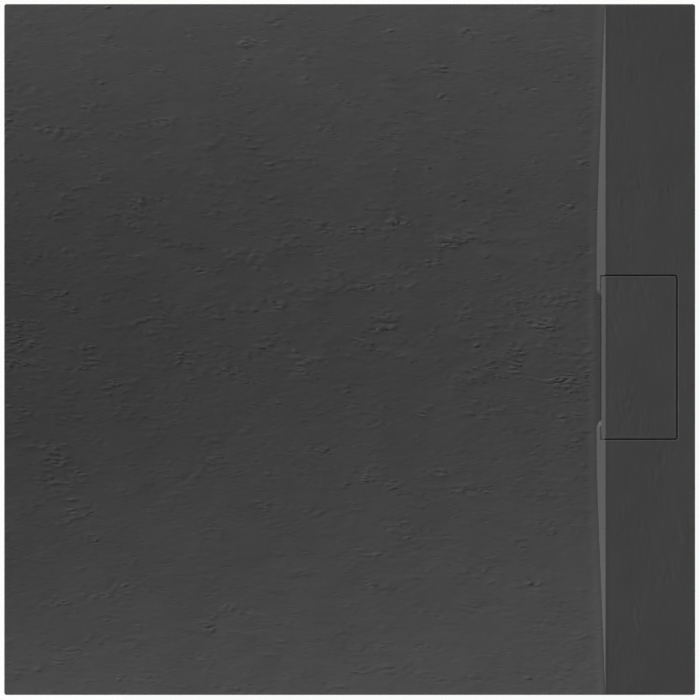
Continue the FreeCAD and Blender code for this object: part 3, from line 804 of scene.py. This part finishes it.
def carvedTray():
    # the CAD tray less one cutter over its floor and one over its strip
    rng = np.random.default_rng(relief["seed"])
    beyond = carving["beyond"]
    # floor: columns run from beyond the left edge to just short of the step's foot
    y = np.arange(-beyond, beyond + 0.0001, relief["rowStep"])
    u = np.linspace(0.0, 1.0, relief["columns"])[None, :]
    ends = footX(y)[:, None]
    x = -beyond + (ends + carving["footSpan"]) * u
    rows = np.broadcast_to(y[:, None], x.shape)
    deep = slateField(rng, x.shape, (relief["rowStep"], carving["floorLength"] / relief["columns"]))
    atEnds, more, middle, width = carving["rougher"]
    deep = deep * (atEnds + more * np.exp(-((rows - middle) / width) ** 2))
    deep = settled(deep) + relief["creaseDepth"] * creaseField(x, rows)
    toFoot = ease(ends - x, *carving["footFade"])
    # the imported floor's flat triangles stand up to 0.2 mm off the true ruling, most at mid length
    under = carving["under"] + carving["underMiddle"] * u * (1 - u)
    z = floorZ(np.maximum(x, fall["left"]), rows) - (deep + under) * toFoot + carving["above"] * (1 - toFoot)
    floorBlock = cutter("floorBlock", x, rows, z, relief["keep"])
    # strip: the same skin with its grain along Y, and fainter
    xs = np.linspace(fall["stepX"] + carving["stripFrom"], beyond, carving["stripColumns"])
    ys = np.linspace(-beyond, beyond, carving["stripRows"])
    gx, gy = np.meshgrid(xs, ys)
    deep = plainField(rng, xs, ys)
    toStep = ease(gx - fall["stepX"], *carving["stripFade"])
    z = fall["top"] - (deep + carving["stripUnder"]) * toStep + carving["above"] * (1 - toStep)
    stripBlock = cutter("stripBlock", gx, gy, z, relief["stripKeep"])
    tray = mergedCopy("tray_shell", "slateTray")
    carve(tray, [floorBlock, stripBlock])
    return tray


def finishStone(piece, node, slotNames):
    # finishes and soft and sharp edges; the CAD node that the piece stands for is hidden, and the piece joins
    # that node's body
    mesh = piece.data
    mesh.materials.clear()
    for name in slotNames:
        mesh.materials.append(finishes[name])
    mesh.shade_smooth()
    mesh.set_sharp_from_angle(angle=math.radians(carving["sharpAt"]))
    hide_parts(node)
    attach(piece, nodes[node]["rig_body"])


tray = carvedTray()
centre = faceData(tray.data, "center", 3)
normal = faceData(tray.data, "normal", 3)
inside = np.abs(centre[:, :2]).max(1) < fall["inner"]
under = inside & (centre[:, 2] < fall["backTop"]) & (normal[:, 2] < fall["backTilt"])
choice = np.where(under, 2, np.where(centre[:, 0] > fall["stepX"], 1, 0)).astype(np.int32)
finishStone(tray, "tray_shell", ("slate", "slateStrip", "castBack"))
tray.data.polygons.foreach_set("material_index", choice)
print("tray triangles", sum(len(p.vertices) - 2 for p in tray.data.polygons))
report("tray")


cover = {
    "left": 0.333,
    "right": 0.4259,
    "front": -0.1165,
    "back": 0.0955,
    "fade": (0.001, 0.004),  # from its edges to where the relief begins and is full
    "inset": 0.0003,  # the cutter begins this far inside its left edge
    "beyond": 0.001,  # and reaches this far past the others
    "columns": 110,
    "rows": 150,
}


def carvedCover():
    # the cover's top with the calm relief, which fades out towards its edges
    rng = np.random.default_rng(relief["seed"] + 1)
    xs = np.linspace(cover["left"] + cover["inset"], cover["right"] + cover["beyond"], cover["columns"])
    ys = np.linspace(cover["front"] - cover["beyond"], cover["back"] + cover["beyond"], cover["rows"])
    gx, gy = np.meshgrid(xs, ys)
    deep = plainField(rng, xs, ys)
    sides = np.minimum(np.minimum(cover["right"] - gx, gx - cover["left"]),
                       np.minimum(gy - cover["front"], cover["back"] - gy))
    inside = ease(sides, *cover["fade"])
    z = fall["top"] - (deep + carving["stripUnder"]) * inside + carving["above"] * (1 - inside)
    block = cutter("coverBlock", gx, gy, z, 1.0)
    piece = mergedCopy("waste_cover", "slateCover")
    carve(piece, [block])
    return piece


slab = carvedCover()
finishStone(slab, "waste_cover", ("slateStrip",))
report("cover")


# levelling feet: threaded stems and lock nuts as surfaces of angle and height

foot = {
    "corners": ("back_left", "back_right", "front_left", "front_right", "centre"),
    "stemRadius": 0.006,
    "ballRadius": 0.009,
    "ballHeight": 0.003,
    "collarLow": 0.023,
    "collarHigh": 0.029,
    "collarFlats": 0.017,
    "threadLow": 0.0305,
    "pitch": 0.00175,
    "threadDepth": 0.00085,
    "perTurn": 8,  # rows in one turn of the thread
    "steep": 1.25,  # the thread's flanks, against a plain triangle wave's
    "crest": 0.12,  # share of the wave that is cut off flat at the crest
    "runOut": 0.001,
    "leadIn": 0.0012,
    "tip": 0.0002,
    "neck": 0.0004,
    "ballBevel": 0.0005,
    "columns": 36,
    "cone": (0.0002, 0.0004, 0.0005, 0.0009),  # a hexagon's ends: inset, height, outset, full height
    "nutFlats": 0.019,
    "nutBore": 0.00606,
    "nutChamfer": 0.0011,
    "nutColumns": 72,
    "nutConeRows": 5,
    "nutInset": 0.0002,
    "nutSlope": 1.732,  # outline against height, for a cone of 60 degrees
    "boreBevel": 0.0007,
    "sharpAt": 24.0,
}


def hexRadius(turn, flats):
    # distance from the centre to a hexagon's side: half the flats / cos(angle from the side's middle)
    return flats / 2 / np.cos((turn + math.pi / 6) % (math.pi / 3) - math.pi / 6)


def tubeFaces(rows, columns, closed):
    # quads of a grid that is wrapped round its columns, and round its rows if closed; else a cap at each end
    index = np.arange(rows * columns).reshape(rows, columns)
    nextColumn = np.roll(index, -1, 1)
    if closed:
        low, high, lowNext, highNext = index, np.roll(index, -1, 0), nextColumn, np.roll(nextColumn, -1, 0)
    else:
        low, high, lowNext, highNext = index[:-1], index[1:], nextColumn[:-1], nextColumn[1:]
    faces = np.stack((low, lowNext, highNext, high), -1).reshape(-1, 4).tolist()
    return faces if closed else faces + [index[0, ::-1].tolist(), index[-1].tolist()]


def turnedPiece(name, radius, z, centres, closed):
    # the surface (radius cos t, radius sin t, z) set up at each centre, as one zinc-plated mesh
    rows, columns = radius.shape
    turn = np.arange(columns) * 2 * math.pi / columns
    around = np.stack((radius * np.cos(turn), radius * np.sin(turn), np.broadcast_to(z, radius.shape)), -1)
    faces = tubeFaces(rows, columns, closed)
    points, allFaces = [], []
    for x, y in centres:
        allFaces += [[i + len(points) * rows * columns for i in face] for face in faces]
        points.append(around.reshape(-1, 3) + (x, y, 0.0))
    mesh = bpy.data.meshes.new(name)
    mesh.from_pydata(np.concatenate(points), [], allFaces)
    mesh.materials.append(finishes["zinc"])
    mesh.shade_smooth()
    mesh.set_sharp_from_angle(angle=math.radians(foot["sharpAt"]))
    return putInScene(name, mesh)


def middleOf(node):
    # the middle of a node's box in plan, and its lowest and highest Z
    low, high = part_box(node)
    return (low[0] + high[0]) / 2, (low[1] + high[1]) / 2, low[2], high[2]


def threadedStem(corner):
    # ball, shank and hexagon collar as rows of an outline, then the thread as radius(height, turn)
    x, y, low, high = middleOf("foot_stem_" + corner)
    turn = np.arange(foot["columns"]) * 2 * math.pi / foot["columns"]
    shank, ball, bevel = foot["stemRadius"], foot["ballRadius"], foot["ballBevel"]
    collar = hexRadius(turn, foot["collarFlats"])
    flat = foot["collarFlats"] / 2
    inset, mid, outset, full = foot["cone"]
    plain = [  # height and outline of the rows below the thread
        (low, ball - bevel), (low + bevel, ball), (low + foot["ballHeight"] - bevel, ball),
        (low + foot["ballHeight"], ball - bevel), (low + foot["ballHeight"], shank),
        (foot["collarLow"], shank), (foot["collarLow"], flat - inset),
        (foot["collarLow"] + mid, np.minimum(collar, flat + outset)), (foot["collarLow"] + full, collar),
        (foot["collarHigh"] - full, collar), (foot["collarHigh"] - mid, np.minimum(collar, flat + outset)),
        (foot["collarHigh"], flat - inset), (foot["collarHigh"], shank - foot["neck"]),
    ]
    z = np.arange(foot["threadLow"], high - foot["tip"], foot["pitch"] / foot["perTurn"])
    # thread: a triangle wave of z / pitch - turn / 2 pi, flattened at crest and root, run out at both ends
    wave = (z[:, None] / foot["pitch"] - turn[None, :] / (2 * math.pi)) % 1.0
    cut = np.clip(foot["steep"] * np.abs(2 * wave - 1) - foot["crest"], 0.0, 1.0)
    runOut = np.maximum(1 - (z - foot["threadLow"]) / foot["runOut"], 0.0)[:, None]
    end = np.maximum((z - high + foot["leadIn"]) / foot["leadIn"], 0.0)[:, None]
    threaded = shank - foot["threadDepth"] * np.maximum(cut * (1 - runOut), end)
    heights = np.concatenate(([row[0] for row in plain], z, [high]))
    outlines = np.stack([np.broadcast_to(row[1], turn.shape) for row in plain])
    tip = np.full((1, len(turn)), shank - foot["threadDepth"] - foot["tip"])
    radius = np.concatenate((outlines, threaded, tip))
    piece = turnedPiece("threadedStem_" + corner, radius, heights[:, None], [(x, y)], closed=False)
    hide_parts("foot_stem_" + corner)
    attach(piece, "stem_" + corner)


def lockNuts():
    # outline min(hexagon, cone from each end), closed round the bore
    centres = [middleOf("foot_stem_" + corner)[:2] for corner in foot["corners"]]
    low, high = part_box("foot_lock_nuts")[0][2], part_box("foot_lock_nuts")[1][2]
    turn = np.arange(foot["nutColumns"]) * 2 * math.pi / foot["nutColumns"]
    side = hexRadius(turn, foot["nutFlats"])
    flat, bore, bevel = foot["nutFlats"] / 2, foot["nutBore"], foot["boreBevel"]
    rise = np.linspace(0.0, foot["nutChamfer"], foot["nutConeRows"])
    cone = np.minimum(side[None, :], flat - foot["nutInset"] + rise[:, None] * foot["nutSlope"])
    inner = np.array((bore + bevel, bore, bore, bore + bevel))[:, None] * np.ones(len(turn))
    radius = np.concatenate((cone, cone[::-1], inner))
    heights = np.concatenate((low + rise, high - rise[::-1], (high, high - bevel, low + bevel, low)))
    piece = turnedPiece("lockNuts", radius, heights[:, None], centres, closed=True)
    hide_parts("foot_lock_nuts")
    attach(piece, nodes["foot_lock_nuts"]["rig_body"])


for corner in foot["corners"]:
    threadedStem(corner)
lockNuts()
report("feet")


# finishes for the parts whose CAD shape is right

coats = {
    "cover_pads": "rubber", "hair_strainer": "stainless", "waste_flange": "stainless",
    "flange_gasket": "rubber", "trap_gasket": "rubber", "dip_tube": "insert", "dip_tube_seal": "rubber",
    "trap_body": "trap", "outlet_seal": "rubber", "outlet_nut": "nut", "outlet_elbow": "trap",
    "foot_socket_screws": "zinc",
}
for corner in foot["corners"]:
    coats["foot_socket_" + corner] = "foot"
    coats["foot_pad_" + corner] = "foot"
    coats["foot_sole_" + corner] = "rubber"
for node, finish in coats.items():
    slots = nodes[node].material_slots
    for slot in slots:
        slot.link = "OBJECT"
        slot.material = finishes[finish]
report("coats")


# floor, light and backdrop

studio = {
    "floorSize": 12.0,
    "floorZ": -0.0005,
    "floorTone": 0.82,
    "camWhite": 0.93,  # share of plain white that the camera and reflections see in the floor
    "horizon": 0.62,  # the sky's strength near the horizon and overhead
    "overhead": 0.14,
    "key": 0.68,  # the lamp's share of the plain light on a level face
    "glint": 0.085,  # its strength in reflections, against that share
    "keyTurn": 142.0,  # degrees from +X towards +Y
    "keyRise": 20.0,
    "keySoft": 6.0,  # the lamp's width as seen from the tray, in degrees
    "keyAway": 2.0,  # metres, only for where the lamp stands in the scene
    "lowSky": (0.15, 0.85),  # heights on the unit sky between which the strength changes over
}


def layFloor():
    # matt pale floor: the camera sees white sky through most of it, and mirrors see white
    half = studio["floorSize"] / 2
    corners = np.array([(-half, -half, 0), (half, -half, 0), (half, half, 0), (-half, half, 0)])
    corners = corners + (0, 0, studio["floorZ"])
    mesh = bpy.data.meshes.new("studioFloor")
    mesh.from_pydata(corners, [], [(0, 1, 2, 3)])
    piece = putInScene("studioFloor", mesh)
    material = bpy.data.materials.new("studioFloor")
    material.use_nodes = True
    tree = material.node_tree
    tree.nodes.clear()
    diffuse = add(tree, "ShaderNodeBsdfDiffuse", {"Color": grey(studio["floorTone"])})
    bright = add(tree, "ShaderNodeEmission", {"Color": grey(1.0), "Strength": 1.0})
    path = tree.nodes.new("ShaderNodeLightPath").outputs
    mirrored = calc(tree, "MAXIMUM", path["Is Glossy Ray"], path["Is Transmission Ray"])
    share = calc(tree, "MULTIPLY", mirrored, studio["camWhite"])
    mix = add(tree, "ShaderNodeMixShader", {0: share, 1: diffuse.outputs[0], 2: bright.outputs[0]})
    # the camera sees the white sky through the floor, and a lowered foot too; from below it sees no floor
    behind = add(tree, "ShaderNodeNewGeometry").outputs["Backfacing"]
    most = calc(tree, "MAXIMUM", behind, studio["camWhite"])
    clearness = calc(tree, "MULTIPLY", path["Is Camera Ray"], most)
    clear = tree.nodes.new("ShaderNodeBsdfTransparent").outputs[0]
    seenThrough = add(tree, "ShaderNodeMixShader", {0: clearness, 1: mix.outputs[0], 2: clear})
    tree.links.new(seenThrough.outputs[0], tree.nodes.new("ShaderNodeOutputMaterial").inputs["Surface"])
    mesh.materials.append(material)


def lightStudio():
    # a sky that is white to the camera and darker overhead than at the horizon to everything else
    world = bpy.data.worlds.new("studioSky")
    world.use_nodes = True
    tree = world.node_tree
    tree.nodes.clear()
    path = tree.nodes.new("ShaderNodeLightPath").outputs
    up = add(tree, "ShaderNodeSeparateXYZ", {0: tree.nodes.new("ShaderNodeTexCoord").outputs["Generated"]})
    lit = spread(tree, up.outputs["Z"], *studio["lowSky"], studio["horizon"], studio["overhead"])
    strength = calc(tree, "MAXIMUM", path["Is Camera Ray"], lit)
    sky = add(tree, "ShaderNodeBackground", {"Color": grey(1.0), "Strength": strength})
    tree.links.new(sky.outputs[0], tree.nodes.new("ShaderNodeOutputWorld").inputs["Surface"])
    bpy.context.scene.world = world
    # one lamp lights the matt part of every surface, and a weaker one in its place gives the glints
    hangLamp("keyLamp", studio["key"], False)
    hangLamp("glintLamp", studio["key"] * studio["glint"], True)


def hangLamp(name, share, glints):
    # strength = share of plain light * pi / sin(rise)
    rise, turn = math.radians(studio["keyRise"]), math.radians(studio["keyTurn"])
    data = bpy.data.lights.new(name, "SUN")
    data.angle = math.radians(studio["keySoft"])
    data.energy = share * math.pi / math.sin(rise)
    lamp = putInScene(name, data)
    lamp.rotation_euler = (math.pi / 2 - rise, 0.0, turn + math.pi / 2)
    away = studio["keyAway"]
    lamp.location = (away * math.cos(turn), away * math.sin(turn), away * math.tan(rise))
    lamp.visible_glossy = glints
    lamp.visible_diffuse = not glints


layFloor()
lightStudio()
bpy.context.scene.view_settings.view_transform = "Standard"
report("studio")
